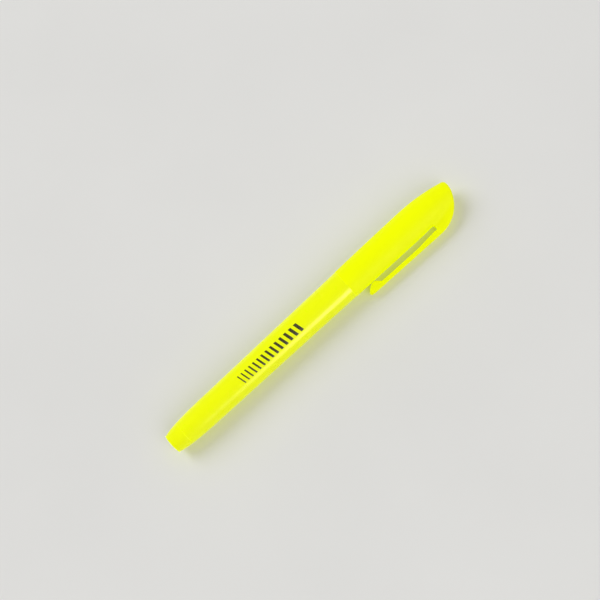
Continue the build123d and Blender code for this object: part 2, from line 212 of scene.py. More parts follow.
class TipSizes(bpy.types.PropertyGroup):
    bead_height: length("Snap bead height", 0.12 * MM, "Snap bead over the rest of the seat")
    bead_position: length("Snap bead position", 6 * MM, "Snap bead from the shoulder")
    bead_width: length("Snap bead half width", 1 * MM, "Run of each flank of the snap bead")
    skirt_tip: length("Skirt lead-in", 0.8 * MM, "Run of the skirt's tapered lead-in")
    skirt_taper: length("Skirt taper", 0.35 * MM, "How much the lead-in narrows the skirt")
    seat_length: length("Seat", 12.5 * MM, "Length of the seat under the cap")
    cone_length: length("Cone", 8 * MM, "Length of the cone")
    cone_step: length("Cone step", 0.35 * MM, "Step down from the seat to the cone")
    nose_radius: length("Nose radius", 2.932 * MM, "Radius of the nose")
    nose_slant: length("Nose slant", 1.3 * MM, "How much shorter the nose is on the clip's side")
    groove_start: length("First groove", 0.8 * MM, "Start of the cone to its first groove")
    groove_pitch: length("Groove pitch", 1.3 * MM, "Spacing of the cone's grooves")
    groove_width: length("Groove width", 0.5 * MM, "Width of each groove")
    groove_depth: length("Groove depth", 0.22 * MM, "Depth of each groove")
    groove_flank: length("Groove flank", 0.08 * MM, "Run of each step in a groove's flanks")
    grooves: IntProperty(name="Grooves", description="Grooves round the cone", default=3, min=0)
    wall: length("Holder wall", 0.9 * MM, "Wall of the holder's seat")
    web_length: length("Holder web", 1.5 * MM, "Solid stretch between the seat's hollow and the cone")
    nose_round: length("Nose rounding", 0.12 * MM, "Rounding of the nose's outer edge")
    socket_fit: length("Socket fit", 0.02 * MM, "Clearance of the nib in its socket")
    vent_width: length("Vent width", 0.8 * MM, "Width of the air vents beside the nib")
    vent_depth: length("Vent depth", 0.3 * MM, "Depth of the air vents beside the nib")
    nib_width: length("Nib width", 4.4 * MM, "Broad side of the nib")
    nib_thickness: length("Nib thickness", 2.9 * MM, "Narrow side of the nib")
    nib_corner: length("Nib corner", 0.7 * MM, "Rounding of the nib's section")
    nib_soft: length("Nib softness", 0.35 * MM, "Softness of the writing end's edges")
    nib_slant: length("Nib slant", 2.6 * MM, "Long edge over short edge at the writing end")
    nib_bevel: length("Nib bevel", 0.9 * MM, "Depth of each side bevel at the writing edge")
    bevel_length: length("Bevel length", 2.4 * MM, "Length of the side bevels")
    liner_wall: length("Liner wall", 0.65 * MM, "Wall of the cap's liner")
    liner_end_wall: length("Liner end wall", 0.9 * MM, "Closed end of the cap's liner")
    liner_chamfer: length("Liner chamfer", 0.3 * MM, "Chamfer and inner rounding of the closed end")
    lip_lead: length("Lip lead-in", 0.8 * MM, "Run of the tapered lead-in outside the lip")
    lip_taper: length("Lip taper", 0.25 * MM, "How much the lead-in narrows the lip")
    lip_round: length("Lip rounding", 0.1 * MM, "Rounding of the lip's edges")


class PrintSizes(bpy.types.PropertyGroup):
    tail_end: length("Tail end", 33.2 * MM, "Tail face to the near end of the printed strokes")
    cap_end: length("Cap end", 62 * MM, "Tail face to the far end of the printed strokes")
    height: length("Height", 3.7 * MM, "Height of the strokes round the barrel")
    offset: length("Offset", -0.3 * MM, "Middle of the strokes towards the clip's side")
    slant: length("Slant", 0.9 * MM, "How far each stroke leans along the barrel")
    thin: length("Thin stroke", 0.45 * MM, "Width of the thinnest stroke")
    thick: length("Thick stroke", 1.25 * MM, "Width of the thickest stroke")
    strokes: IntProperty(name="Strokes", description="Printed strokes", default=14, min=2)
    ink: length("Ink", 0.02 * MM, "Thickness of the printed ink")


class PenColours(bpy.types.PropertyGroup):
    barrel: colour("Barrel", (0.62, 0.675, 0.0, 1), "Fluorescent yellow of the barrel")
    barrel_deep: colour("Barrel, deep", (0.607, 0.66, 0.0, 1), "Darker drift in the barrel's yellow")
    cap: colour("Cap", (0.632, 0.69, 0.0, 1), "Fluorescent yellow of the cap and clip")
    cap_deep: colour("Cap, deep", (0.618, 0.675, 0.0, 1), "Darker drift in the cap's yellow")
    print_ink: colour("Print", (0.035, 0.033, 0.004, 1), "Dark olive printing ink")
    holder: colour("Holder", (0.80, 0.81, 0.77, 1), "Natural white plastic of the nib holder")
    liner: colour("Liner", (0.78, 0.80, 0.74, 1), "Milky plastic of the cap's liner")
    nib: colour("Nib", (0.72, 0.77, 0.0, 1), "Ink-soaked nib")
    nib_dry: colour("Nib, dry", (0.80, 0.83, 0.16, 1), "Paler fibre in the nib")
    fibre: colour("Fibre", (0.78, 0.84, 0.05, 1), "Ink-soaked reservoir fibre")
    film: colour("Film", (0.88, 0.92, 0.62, 1), "Film round the reservoir")
    # Painted glow: a steady emission that stands in for the plastic's fluorescence and evens out its shading.
    painted_glow: share("Glow", 0.52, "Light that the fluorescent plastic gives off")


class StageLook(bpy.types.PropertyGroup):
    floor: colour("Floor", (0.775, 0.775, 0.77, 1), "Pale table top")
    roll: FloatProperty(
        name="Camera roll", description="Pen's angle in the view", default=radians(42.7), subtype="ANGLE"
    )
    scale: FloatProperty(
        name="View width", description="Width that the view covers", default=0.2122, unit="LENGTH"
    )
    lens: FloatProperty(name="Lens", description="Focal length in millimetres", default=85)
    right: length("Right", 4.0 * MM, "How far the pen's middle is right of the view's middle")
    down: length("Down", 5.7 * MM, "How far the pen's middle is below the view's middle")


def settings(name):
    return getattr(bpy.context.scene, f"pen_{name}")


# ---- shared modelling ----

SPIN_STEPS = 112  # faces round a turned piece
OUTSIDE = 16 * MM  # beyond every piece's outside, from its axis
HALVINGS = 22  # steps in the search for a form's outside


def turned(profile):
    """A piece turned about the pen's axis from a line of (x, radius) points. A closed line makes a ring."""
    bm = bmesh.new()
    corners = [bm.verts.new((x, 0, r)) for x, r in profile]
    edges = [bm.edges.new(pair) for pair in zip(corners, corners[1:])]
    if profile[0][1] > 0:
        edges.append(bm.edges.new((corners[-1], corners[0])))
    bmesh.ops.spin(
        bm, geom=corners + edges, cent=(0, 0, 0), axis=(1, 0, 0), angle=2 * pi, steps=SPIN_STEPS,
        use_merge=True,
    )
    bmesh.ops.remove_doubles(bm, verts=bm.verts, dist=1e-7)
    return bm


def soften(bm, circles, width, segments=3):
    """Rounds the circular edges of a turned piece that lie at these (x, radius) places."""
    near = 0.01 * MM

    def lies_on(vert, circle):
        return abs(vert.co.x - circle[0]) < near and abs(hypot(vert.co.y, vert.co.z) - circle[1]) < near

    edges = [
        e for e in bm.edges if any(all(lies_on(v, circle) for v in e.verts) for circle in circles)
    ]
    bmesh.ops.bevel(
        bm, geom=edges, offset=width, offset_type="OFFSET", segments=segments, profile=0.5, affect="EDGES",
        material=-1,
    )


def start_ring(bm, places):
    """A ring of edges with one vertex at each place; each vertex remembers its spoke."""
    spoke = bm.verts.layers.int.new("spoke")
    ring = bmesh.ops.create_circle(bm, segments=len(places), radius=1)["verts"]
    for number, (vert, place) in enumerate(zip(ring, places)):
        vert[spoke] = number
        vert.co = place
    return list(bm.edges)


def pull_ring(bm, edges, places):
    """Extrudes a ring of edges and moves each new vertex to its spoke's place."""
    spoke = bm.verts.layers.int["spoke"]
    made = bmesh.ops.extrude_edge_only(bm, edges=edges)["geom"]
    new = {v for v in made if isinstance(v, bmesh.types.BMVert)}
    for vert in new:
        vert.co = places[vert[spoke]]
    return [e for e in made if isinstance(e, bmesh.types.BMEdge) and set(e.verts) <= new]


def lofted(rings):
    """A skin over rings of places, each ring extruded from the one before."""
    bm = bmesh.new()
    edges = start_ring(bm, rings[0])
    for ring in rings[1:]:
        edges = pull_ring(bm, edges, ring)
    bmesh.ops.remove_doubles(bm, verts=bm.verts, dist=1e-7)
    return bm


def round_places(x, radius, angles):
    """A circle of places at x; angles turn from the clip's side."""
    return [Vector((x, radius * sin(a), radius * cos(a))) for a in angles]


def either(a, b, blend):
    """Joins two forms, each negative inside, and fills the corner between them softly."""
    overlap = max(blend - abs(a - b), 0)
    return min(a, b) - overlap**2 / (4 * blend)


def both(a, b, blend):
    """Keeps what two forms share, and rounds the edge between them."""
    return -either(-a, -b, blend)


def reach(form, origin, direction):
    """The place where a ray from inside a form leaves it."""
    near, far = 0.0, OUTSIDE
    for _ in range(HALVINGS):
        middle = (near + far) / 2
        if form(origin + direction * middle) < 0:
            near = middle
        else:
            far = middle
    return origin + direction * near


def reach_ring(form, x, angles, lean=0.0):
    """A ring on a form's outside, met by spokes from x that lean towards the pen's far end."""
    heart = Vector((x, 0, 0))
    return [
        reach(form, heart, Vector((sin(lean), cos(lean) * sin(a), cos(lean) * cos(a)))) for a in angles
    ]


def add_object(name, data):
    made = bpy.data.objects.new(name, data)
    bpy.context.scene.collection.objects.link(made)
    return made


def add_mesh(bm, name, material):
    """Turns a modelled mesh into an object of one material."""
    mesh = bpy.data.meshes.new(name)
    bm.to_mesh(mesh)
    bm.free()
    mesh.materials.append(material)
    return add_object(name, mesh)


def finish_piece(bm, name, material, body, replaced=(), sharp=40):
    """Puts a modelled piece in its place in the row frame and gives it its material."""
    bmesh.ops.transform(bm, matrix=PEN, verts=bm.verts)
    bmesh.ops.recalc_face_normals(bm, faces=bm.faces)
    for face in bm.faces:
        face.smooth = True
    piece = add_mesh(bm, name, material)
    piece.data.set_sharp_from_angle(angle=radians(sharp))
    if body:
        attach(piece, body)
    if replaced:
        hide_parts(*replaced)
    return piece


# ---- materials ----


def add_node(tree, kind, inputs, **options):
    """A node with its options set and each input given a value or linked from a socket."""
    made = tree.nodes.new(kind)
    for option, value in options.items():
        setattr(made, option, value)
    for socket, value in inputs.items():
        if isinstance(value, bpy.types.NodeSocket):
            tree.links.new(value, made.inputs[socket])
        else:
            made.inputs[socket].default_value = value
    return made


def blank_material(name):
    """A material with its node tree emptied but for the output."""
    material = bpy.data.materials.new(name)
    material.use_nodes = True
    tree = material.node_tree
    tree.nodes.clear()
    return material, tree, tree.nodes.new("ShaderNodeOutputMaterial")


def cover(tree, output, inputs):
    """Covers a material with one principled surface."""
    shader = add_node(tree, "ShaderNodeBsdfPrincipled", inputs)
    tree.links.new(shader.outputs["BSDF"], output.inputs["Surface"])


def pattern(tree, size, detail=3.0, stretch=(1, 1, 1)):
    """Noise on the object's own coordinates, with features of about this size in metres."""
    place = add_node(tree, "ShaderNodeTexCoord", {})
    stretched = add_node(
        tree, "ShaderNodeMapping", {"Vector": place.outputs["Object"], "Scale": stretch}
    )
    noise = add_node(
        tree, "ShaderNodeTexNoise",
        {"Vector": stretched.outputs["Vector"], "Scale": 1 / size, "Detail": detail},
    )
    return noise.outputs["Fac"]


def ranged(tree, value, low, high, start=0.3, end=0.7):
    """A pattern's middle range spread over low to high."""
    made = add_node(
        tree, "ShaderNodeMapRange",
        {"Value": value, "From Min": start, "From Max": end, "To Min": low, "To Max": high},
    )
    return made.outputs["Result"]


def mixed(tree, factor, first, second):
    made = add_node(tree, "ShaderNodeMix", {}, data_type="RGBA")
    tree.links.new(factor, made.inputs["Factor"])
    for socket, value in (("A", first), ("B", second)):
        target = next(s for s in made.inputs if s.name == socket and s.type == "RGBA")
        if isinstance(value, bpy.types.NodeSocket):
            tree.links.new(value, target)
        else:
            target.default_value = value
    return next(s for s in made.outputs if s.type == "RGBA")


def shaded(main, factor):
    """A colour made darker or lighter by this factor."""
    return tuple(min(1, channel * factor) for channel in main[:3]) + (1,)


def bumped(tree, height, strength, distance, under=None):
    inputs = {"Height": height, "Strength": strength, "Distance": distance}
    if under is not None:
        inputs["Normal"] = under
    return add_node(tree, "ShaderNodeBump", inputs).outputs["Normal"]


def moulded_plastic(name, main, deep, rough, soft, peel, painted_glow=0, gleam=1, shine=0.5):
    """Moulded polypropylene: a slight colour drift, a faint skin texture and fine handling scratches.

    soft is the share of light that goes through, peel the skin texture's depth, the emission strength a
    painted glow that stands in for the plastic's fluorescence and evens out its shading, gleam the blue left
    in its gloss, and shine the gloss itself.
    """
    material, tree, output = blank_material(name)
    drift = ranged(tree, pattern(tree, 14 * MM, detail=1.0, stretch=(0.35, 1, 1)), 0, 1)
    base = mixed(tree, drift, main, deep)
    scratches = pattern(tree, 0.12 * MM, detail=1.0, stretch=(0.02, 1, 1))
    smears = ranged(tree, pattern(tree, 5 * MM, detail=4.0), rough, rough + 0.09)
    skin = bumped(tree, pattern(tree, 0.55 * MM, detail=2.0), peel, 0.01 * MM)
    marked = bumped(tree, ranged(tree, scratches, 0, 1, 0.62, 0.74), 0.08, 0.004 * MM, under=skin)
    cover(tree, output, {
        "Base Color": base,
        "Roughness": smears,
        "Normal": marked,
        "IOR": 1.49,
        "Specular IOR Level": shine,
        "Specular Tint": (1, 1, gleam, 1),
        "Subsurface Weight": soft,
        "Subsurface Radius": (1.0, 1.0, 0.25),
        "Subsurface Scale": 1.2 * MM,
        # Painted glow: the plastic's own colour given off as steady light, standing in for fluorescence and
        # evening out its shading.
        "Emission Color": main,
        "Emission Strength": painted_glow,
    })
    return material


def printed_ink(name, main):
    """Screen-printed ink: dense, slightly uneven, with pinholes that thin its colour."""
    material, tree, output = blank_material(name)
    thin = tuple(min(1, 2.6 * c + 0.01) for c in main[:3]) + (1,)
    base = mixed(tree, ranged(tree, pattern(tree, 0.35 * MM), 0, 1, 0.45, 0.8), main, thin)
    skin = bumped(tree, pattern(tree, 0.15 * MM), 0.25, 0.004 * MM)
    cover(tree, output, {
        "Base Color": base,
        "Roughness": ranged(tree, pattern(tree, 0.8 * MM), 0.32, 0.5),
        "Normal": skin,
    })
    return material


def porous_fibre(name, wet, dry, grain, stretch, bump, painted_glow=0.0):
    """Bonded fibre soaked with ink: fine strands, wetter and drier patches, and a painted glow of the ink's
    colour when asked for.
    """
    material, tree, output = blank_material(name)
    strands = pattern(tree, grain, detail=4.0, stretch=stretch)
    patches = ranged(tree, pattern(tree, 1.6 * MM), 0, 1)
    soaked = mixed(tree, patches, wet, dry)
    base = mixed(tree, ranged(tree, strands, 0, 0.6), soaked, wet)
    cover(tree, output, {
        "Base Color": base,
        "Roughness": ranged(tree, strands, 0.62, 0.85),
        "Normal": bumped(tree, strands, bump, 0.05 * MM),
        "Subsurface Weight": 0.25,
        "Subsurface Radius": (1.0, 1.0, 0.3),
        "Subsurface Scale": 0.5 * MM,
        "Sheen Weight": 0.1,
        # Painted glow: the wet ink's colour given off as steady light, standing in for fluorescence.
        "Emission Color": wet,
        "Emission Strength": painted_glow,
    })
    return material


def clear_film(name, tint):
    """Thin crinkled film."""
    material, tree, output = blank_material(name)
    crinkle = pattern(tree, 1.2 * MM, detail=2.0, stretch=(0.4, 1, 1))
    cover(tree, output, {
        "Base Color": mixed(tree, ranged(tree, crinkle, 0, 0.4), tint, (1, 1, 1, 1)),
        "Roughness": ranged(tree, crinkle, 0.08, 0.2),
        "Normal": bumped(tree, crinkle, 0.4, 0.05 * MM),
        "Alpha": 0.45,
    })
    return material


def table_top(name, main):
    """A plain pale table top with the faintest mottle."""
    material, tree, output = blank_material(name)
    mottle = ranged(tree, pattern(tree, 90 * MM, detail=5.0), 0, 1)
    cover(tree, output, {
        "Base Color": mixed(tree, mottle, main, shaded(main, 0.965)),
        "Roughness": 0.8,
        "Specular IOR Level": 0,
    })
    return material


def barrel_plastic():
    colours = settings("colours")
    return moulded_plastic(
        "barrel_plastic", colours.barrel, colours.barrel_deep,
        rough=0.25, soft=0.4, peel=0.10, painted_glow=colours.painted_glow, gleam=0.36, shine=0.45,
    )


def cap_plastic():
    colours = settings("colours")
    return moulded_plastic(
        "cap_plastic", colours.cap, colours.cap_deep,
        rough=0.58, soft=0.4, peel=0.22, painted_glow=colours.painted_glow, gleam=0.18, shine=0.3,
    )


def inner_plastic(name, main, rough, soft, peel):
    """The natural, uncoloured plastic of the pieces under the cap."""
    return moulded_plastic(name, main, shaded(main, 0.95), rough=rough, soft=soft, peel=peel)


# ---- the barrel and its tail ----


def taper_radius(x):
    """The barrel's outer radius: a quarter ellipse from the tail face, then a straight flank."""
    sizes = settings("barrel")
    run = x - TAIL_X
    if run < sizes.taper_length:
        away = (sizes.taper_length - run) / sizes.taper_length
        rise = sizes.rear_radius - sizes.tail_face_radius
        return sizes.tail_face_radius + rise * sqrt(max(0, 1 - away**2))
    along = (run - sizes.taper_length) / (SHOULDER_X - TAIL_X - sizes.taper_length)
    return sizes.rear_radius + (BARREL_FRONT_RADIUS - sizes.rear_radius) * along


def bore_radius(x):
    sizes = settings("barrel")
    rear = sizes.rear_radius - sizes.rear_wall
    front = BARREL_FRONT_RADIUS - sizes.front_wall
    return rear + (front - rear) * (x - SEAM_X) / (SHOULDER_X - SEAM_X)


def outside_from(start, end, steps):
    """Points on the barrel's outer line, closer together where it curves most."""
    crowding = 1.6
    shares = [(step / steps) ** crowding for step in range(steps + 1)]
    return [(start + (end - start) * s, taper_radius(start + (end - start) * s)) for s in shares]


class PEN_OT_barrel(bpy.types.Operator):
    """Builds the barrel tube"""

    bl_idname = "pen.barrel"
    bl_label = "Barrel"

    def execute(self, context):
        sizes = settings("barrel")
        rear, front = (SEAM_X, bore_radius(SEAM_X)), (SHOULDER_X, bore_radius(SHOULDER_X))
        outside = outside_from(SEAM_X, SHOULDER_X, steps=36)
        bm = turned([rear, *outside, front])
        soften(bm, [outside[0]], sizes.seam_round)
        soften(bm, [outside[-1]], sizes.edge_round)
        finish_piece(bm, "barrel_tube", barrel_plastic(), "barrel", ["barrel"])
        return {"FINISHED"}


class PEN_OT_tail_plug(bpy.types.Operator):
    """Builds the rounded tail plug with its spigot"""

    bl_idname = "pen.tail_plug"
    bl_label = "Tail Plug"

    def execute(self, context):
        sizes = settings("barrel")
        gate_x = TAIL_X + sizes.gate_depth
        face = [(gate_x, 0), (gate_x, sizes.gate_radius), (TAIL_X, sizes.gate_radius * 1.5)]
        outside = outside_from(TAIL_X, SEAM_X, steps=22)
        spigot_radius = bore_radius(SEAM_X)
        core_x = SEAM_X - sizes.plug_core
        spigot = [
            (SEAM_X, spigot_radius),
            (SPIGOT_END_X - sizes.spigot_lead, spigot_radius),
            (SPIGOT_END_X, spigot_radius - sizes.spigot_taper),
            (SPIGOT_END_X, sizes.plug_bore),
            (SEAM_X, sizes.plug_bore),
            (core_x, sizes.plug_bore - sizes.core_taper),
            (core_x, 0),
        ]
        bm = turned(face + outside + spigot)
        soften(bm, [outside[0]], sizes.tail_round, segments=6)
        soften(bm, [outside[-1]], sizes.seam_round)
        finish_piece(bm, "tail_plug_shell", barrel_plastic(), "barrel", ["tail_plug"])
        return {"FINISHED"}


class PEN_OT_print(bpy.types.Operator):
    """Prints a row of slanted strokes of rising width on the barrel"""

    bl_idname = "pen.print"
    bl_label = "Printed Strokes"

    def execute(self, context):
        sizes = settings("print")
        bm = bmesh.new()
        widths = [
            sizes.thin + (sizes.thick - sizes.thin) * i / (sizes.strokes - 1) for i in range(sizes.strokes)
        ]
        room = sizes.cap_end - sizes.tail_end - sizes.slant
        gap = (room - sum(widths)) / (sizes.strokes - 1)
        start = TAIL_X + sizes.tail_end
        for width in widths:
            self.add_stroke(bm, start, width, sizes)
            start += width + gap
        ink = printed_ink("print_ink", settings("colours").print_ink)
        finish_piece(bm, "barrel_print", ink, "barrel")
        return {"FINISHED"}

    def add_stroke(self, bm, start, width, sizes):
        """One leaning stroke, wrapped on the barrel and given the ink's thickness."""
        patch = bmesh.ops.create_grid(bm, x_segments=4, y_segments=12, size=0.5)["verts"]
        faces = list({face for vert in patch for face in vert.link_faces})
        for vert in patch:
            along, up = vert.co.x + 0.5, vert.co.y + 0.5
            x = start + along * width + up * sizes.slant
            radius = taper_radius(x) + sizes.ink / 4
            turn = (sizes.offset + (up - 0.5) * sizes.height) / radius
            vert.co = (x, radius * cos(turn), radius * sin(turn))
        bmesh.ops.recalc_face_normals(bm, faces=faces)
        outward = sum(face.normal.dot(face.calc_center_median() * Vector((0, 1, 1))) for face in faces)
        if outward < 0:
            bmesh.ops.reverse_faces(bm, faces=faces)
        bmesh.ops.solidify(bm, geom=faces, thickness=-sizes.ink)


# ---- the writing end ----


def even_angles(count):
    return [2 * pi * i / count for i in range(count)]


def nib_form(place):
    """The nib's section and its slanted, bevelled writing end; negative inside."""
    sizes = settings("tip")
    flat_y, flat_z = sizes.nib_thickness / 2 - sizes.nib_corner, sizes.nib_width / 2 - sizes.nib_corner
    over_y, over_z = abs(place.y) - flat_y, abs(place.z) - flat_z
    section = hypot(max(over_y, 0), max(over_z, 0)) + min(max(over_y, over_z), 0) - sizes.nib_corner
    lean = atan2(sizes.nib_slant, sizes.nib_width)
    out = Vector((cos(lean), 0, sin(lean)))
    end = (place - Vector((NIB_TIP_X, 0, -sizes.nib_width / 2))).dot(out)
    fall = atan2(sizes.nib_bevel, sizes.bevel_length)
    edge = sizes.nib_thickness / 2 - sizes.nib_bevel
    bevels = (abs(place.y) - edge) * cos(fall) + end * sin(fall)
    return both(both(section, end, sizes.nib_soft), bevels, sizes.nib_soft)


NIB_SPOKES = 96
NIB_END_RINGS = 60


class PEN_OT_nib(bpy.types.Operator):
    """Builds the porous chisel nib"""

    bl_idname = "pen.nib"
    bl_label = "Chisel Nib"

    def execute(self, context):
        angles = even_angles(NIB_SPOKES)
        heart_x = NIB_TIP_X - 4.5 * MM  # inside the writing end, where its spokes meet
        rings = [[Vector((NIB_REAR_X, 0, 0))] * len(angles)]
        for x in (NIB_REAR_X, NIB_REAR_X + 0.2 * MM, SKIRT_X, NOSE_END_X - 2 * MM, heart_x):
            rings.append(reach_ring(nib_form, x, angles))
        for step in range(1, NIB_END_RINGS + 1):
            rings.append(reach_ring(nib_form, heart_x, angles, lean=pi / 2 * step / NIB_END_RINGS))
        bm = lofted(rings)
        colours = settings("colours")
        # The nib gets a painted glow for its fluorescent ink.
        felt = porous_fibre("nib_felt", colours.nib, colours.nib_dry, 0.16 * MM, (0.35, 1, 1), 0.8, painted_glow=0.25)
        finish_piece(bm, "nib_felt_tip", felt, "barrel", ["chisel_nib"])
        return {"FINISHED"}


def socket_reach(angle, grow):
    """The nib socket's outline with its two air vents, from the axis at this angle."""
    sizes = settings("tip")
    direction = Vector((0, sin(angle), cos(angle)))
    section_x = Vector((NIB_REAR_X + MM, 0, 0))
    wall = (reach(nib_form, section_x, direction) - section_x).length + grow
    across, along = abs(direction.z), abs(direction.y)
    if along > 0 and (sizes.nib_thickness / 2 + sizes.vent_depth) * across / along < sizes.vent_width / 2:
        wall = max(wall, (sizes.nib_thickness / 2 + sizes.vent_depth) / along)
    return wall


HOLDER_SPOKES = 120
BEAD_STEPS = 8


class PEN_OT_nib_holder(bpy.types.Operator):
    """Builds the front section that holds the nib and seats the cap"""

    bl_idname = "pen.nib_holder"
    bl_label = "Nib Holder"

    def execute(self, context):
        sizes = settings("tip")
        angles = even_angles(HOLDER_SPOKES)
        seat_end = SHOULDER_X + sizes.seat_length
        low_seat = SEAT_RADIUS - sizes.bead_height
        cone = SEAT_RADIUS - sizes.cone_step
        web_x = seat_end - sizes.web_length
        hollow = [
            (SKIRT_X, sizes.nose_radius), (web_x, sizes.nose_radius), (web_x, cone - sizes.wall),
            (SHOULDER_X - MM, low_seat - sizes.wall), (SKIRT_X, low_seat - sizes.wall),
        ]
        outside = [
            *self.seat_line(sizes, seat_end, low_seat, cone),
            *self.groove_line(sizes, seat_end, cone),
            (seat_end + sizes.cone_length, sizes.nose_radius),
        ]
        rings = [self.socket_ring(SKIRT_X, angles)]
        rings += [round_places(x, r, angles) for x, r in hollow + outside]
        rings += self.nose_rings(sizes, angles)
        rings.append(self.socket_ring(SKIRT_X, angles))
        bm = lofted(rings)
        plastic = inner_plastic("holder_plastic", settings("colours").holder, rough=0.34, soft=0.3, peel=0.2)
        finish_piece(bm, "nib_holder_body", plastic, "barrel", ["nib_holder"], sharp=30)
        return {"FINISHED"}

    def seat_line(self, sizes, seat_end, low_seat, cone):
        """The skirt in the barrel, then the cap's seat with its snap bead."""
        skirt = bore_radius(SKIRT_X)
        bead_x = SHOULDER_X + sizes.bead_position
        line = [
            (SKIRT_X, skirt - sizes.skirt_taper), (SKIRT_X + sizes.skirt_tip, skirt),
            (SHOULDER_X, bore_radius(SHOULDER_X)), (SHOULDER_X, low_seat),
        ]
        for swing in (pi * step / BEAD_STEPS for step in range(BEAD_STEPS + 1)):
            rise = sizes.bead_height * sin(swing) ** 2
            line.append((bead_x - sizes.bead_width * cos(swing), low_seat + rise))
        soft = sizes.groove_flank
        return line + [
            (seat_end - 0.45 * MM, low_seat), (seat_end - 0.25 * MM, low_seat - soft / 2),
            (seat_end, cone + soft), (seat_end, cone),
        ]

    def groove_line(self, sizes, seat_end, cone):
        """The grooves round the cone, each with stepped, soft flanks."""
        fall = (cone - sizes.nose_radius) / sizes.cone_length
        soft, depth = sizes.groove_flank, sizes.groove_depth
        line = []
        for groove in range(sizes.grooves):
            start = seat_end + sizes.groove_start + groove * sizes.groove_pitch
            end = start + sizes.groove_width
            high, low = cone - fall * (start - seat_end), cone - fall * (end - seat_end)
            line += [
                (start, high), (start + soft, high - depth * 0.7), (start + 2 * soft, high - depth),
                (end - 2 * soft, low - depth), (end - soft, low - depth * 0.7), (end, low),
            ]
        return line

    def nose_rings(self, sizes, angles):
        """The nose's slanted end, from its rounded edge in to the nib's socket."""

        def slanted(radius_at, inset=0.0):
            places = []
            for a in angles:
                z = radius_at(a) * cos(a)
                rise = (z + sizes.nose_radius) / (2 * sizes.nose_radius)
                x = NOSE_END_X - inset - sizes.nose_slant * rise
                places.append(Vector((x, radius_at(a) * sin(a), z)))
            return places

        return [
            slanted(lambda a: sizes.nose_radius - sizes.nose_round),
            slanted(lambda a: sizes.nose_radius - sizes.nose_round - 0.1 * MM),
            slanted(lambda a: socket_reach(a, 4 * sizes.socket_fit)),
            slanted(lambda a: socket_reach(a, sizes.socket_fit), inset=0.1 * MM),
        ]

    def socket_ring(self, x, angles):
        fit = settings("tip").socket_fit
        return [Vector((x, socket_reach(a, fit) * sin(a), socket_reach(a, fit) * cos(a))) for a in angles]


class PEN_OT_reservoir(bpy.types.Operator):
    """Gives the ink reservoir and its film their finishes"""

    bl_idname = "pen.reservoir"
    bl_label = "Reservoir"

    def execute(self, context):
        colours = settings("colours")
        fibre = porous_fibre("reservoir_fibre", colours.fibre, colours.nib_dry, 0.1 * MM, (0.02, 1, 1), 0.9)
        film = clear_film("reservoir_film", colours.film)
        for node, material in (("reservoir_core", fibre), ("reservoir_film", film)):
            mesh = frame["nodes"][node].data
            mesh.materials.clear()
            mesh.materials.append(material)
        return {"FINISHED"}


# ---- the cap, its liner and its clip ----


def arc_radius(run, fall):
    """The radius of an arc that starts level and has fallen this much after this run."""
    return (run**2 + fall**2) / (2 * fall)


def cap_radius_at(x):
    """The cap's round outline: one arc from the belly to the mouth and one to the far end."""
    sizes = settings("cap")
    belly_x = CAP_END_X - sizes.end_taper
    if x < belly_x:
        arc = arc_radius(belly_x - SHOULDER_X, sizes.swell)
    else:
        arc = arc_radius(sizes.end_taper, CAP_RADIUS - END_RADIUS)
    return CAP_RADIUS - arc + sqrt(arc**2 - (x - belly_x) ** 2)


def end_surface(x, z):
    """The cap's quarter-round far end, flowing into the clip's back; negative on the pen's side."""
    if x < ROOT_X:
        return z - CLIP_BACK
    return hypot(x - ROOT_X, z + END_RADIUS) - END_ARC_RADIUS


def cap_form(place):
    """The round cap, its web and its far end; negative inside."""
    sizes, clip = settings("cap"), settings("clip")
    body = hypot(place.y, place.z) - cap_radius_at(place.x)
    widening = max(0, place.x - ROOT_X - sizes.web_straight) / (END_ARC_RADIUS - sizes.web_straight)
    half_width = clip.root_width / 2 + (END_RADIUS - clip.root_width / 2) * widening
    before_root = ROOT_X - place.x if place.x < ROOT_X else -END_ARC_RADIUS
    web = max(abs(place.y) - half_width, before_root, -place.z)
    along = min(1, max(0, (place.x - ROOT_X) / END_ARC_RADIUS))
    rim = clip.edge_blend + (sizes.rim_blend - clip.edge_blend) * along
    solid = either(body, web, sizes.web_blend)
    return both(solid, end_surface(place.x, place.z), rim)


# Stations for the cap's rings: millimetres from the root, then degrees of lean round the far end.
# They are closest together at the web's start and at the far end's rim.
ROOT_STATIONS = [-1.0, -0.7, -0.45, -0.28, -0.15, -0.06, -0.01, 0.002, 0.1, 0.4, 0.8, 1.2, 1.6, 2.0, 2.5]
END_LEANS = [2 * i for i in range(31)] + [60 + 0.6 * i for i in range(1, 31)] + [79, 80.5, 82, 84, 86, 88, 90]
BODY_RINGS = 24


def cap_angles():
    """Spokes round the cap, closer together where the web stands up."""
    web_half, web_spokes, rest_spokes = radians(32), 84, 108
    close = [-web_half + 2 * web_half * i / web_spokes for i in range(web_spokes)]
    rest = [web_half + (2 * pi - 2 * web_half) * i / rest_spokes for i in range(rest_spokes)]
    return close + rest


def cap_rings(angles):
    """Rings over the cap's outside, from the mouth to the pole in its far end."""
    mouth_x = SHOULDER_X + settings("cap").mouth_round
    body = ROOT_X - 1.4 * MM - SHOULDER_X
    stations = [SHOULDER_X + body * i / BODY_RINGS for i in range(1, BODY_RINGS + 1)]
    rings = [round_places(mouth_x, cap_radius_at(SHOULDER_X), angles)]
    rings += [round_places(x, cap_radius_at(x), angles) for x in stations]
    rings += [reach_ring(cap_form, ROOT_X + step * MM, angles) for step in ROOT_STATIONS]
    heart_x = ROOT_X + 3 * MM
    return rings + [reach_ring(cap_form, heart_x, angles, lean=radians(lean)) for lean in END_LEANS]


